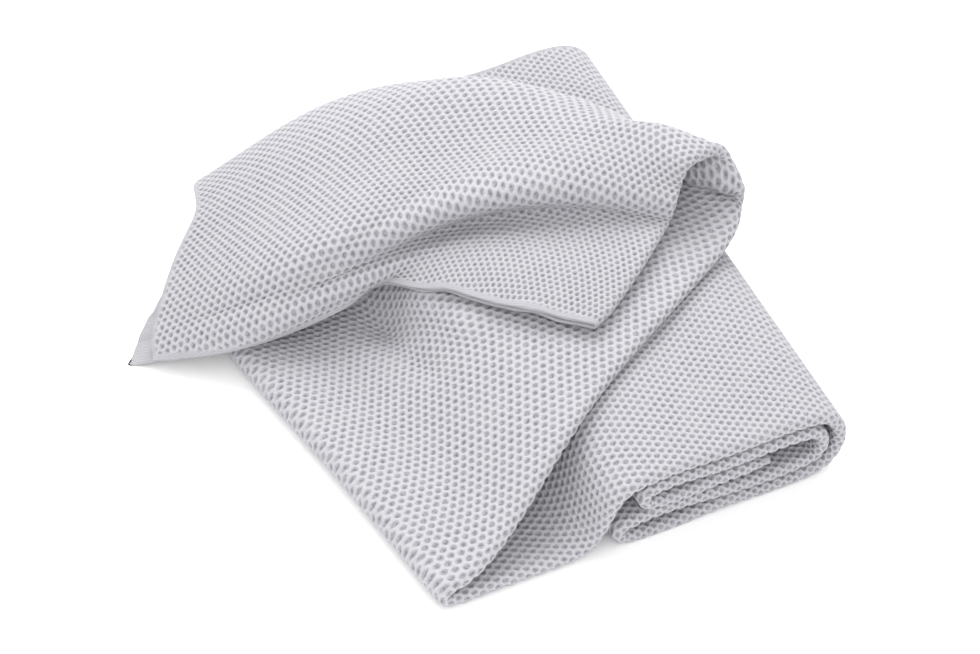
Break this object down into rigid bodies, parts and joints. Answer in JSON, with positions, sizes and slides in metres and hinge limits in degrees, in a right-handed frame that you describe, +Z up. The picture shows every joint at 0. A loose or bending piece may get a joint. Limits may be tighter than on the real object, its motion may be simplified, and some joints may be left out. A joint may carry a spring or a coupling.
{
  "type": "folded knitted swaddle blanket",
  "caption": "Honeycomb-knit cotton blanket, doubled, folded into a soft stack and partly turned back in a loose roll with a hanging flap.",
  "frame": {"origin": "centre of the bounding box's base, on the surface the blanket lies on", "axes": "+Z up; +Y from the doubled edge to the open hems; +X from the left fold to the stack's right-hand turn"},
  "size_m": [0.3089, 0.3038, 0.0912],
  "materials": {
    "knit": "matte open honeycomb knit, pale lavender-grey cotton"
  },
  "bodies": {
    "root": {"blanket": "knit"}
  },
  "joints": []
}
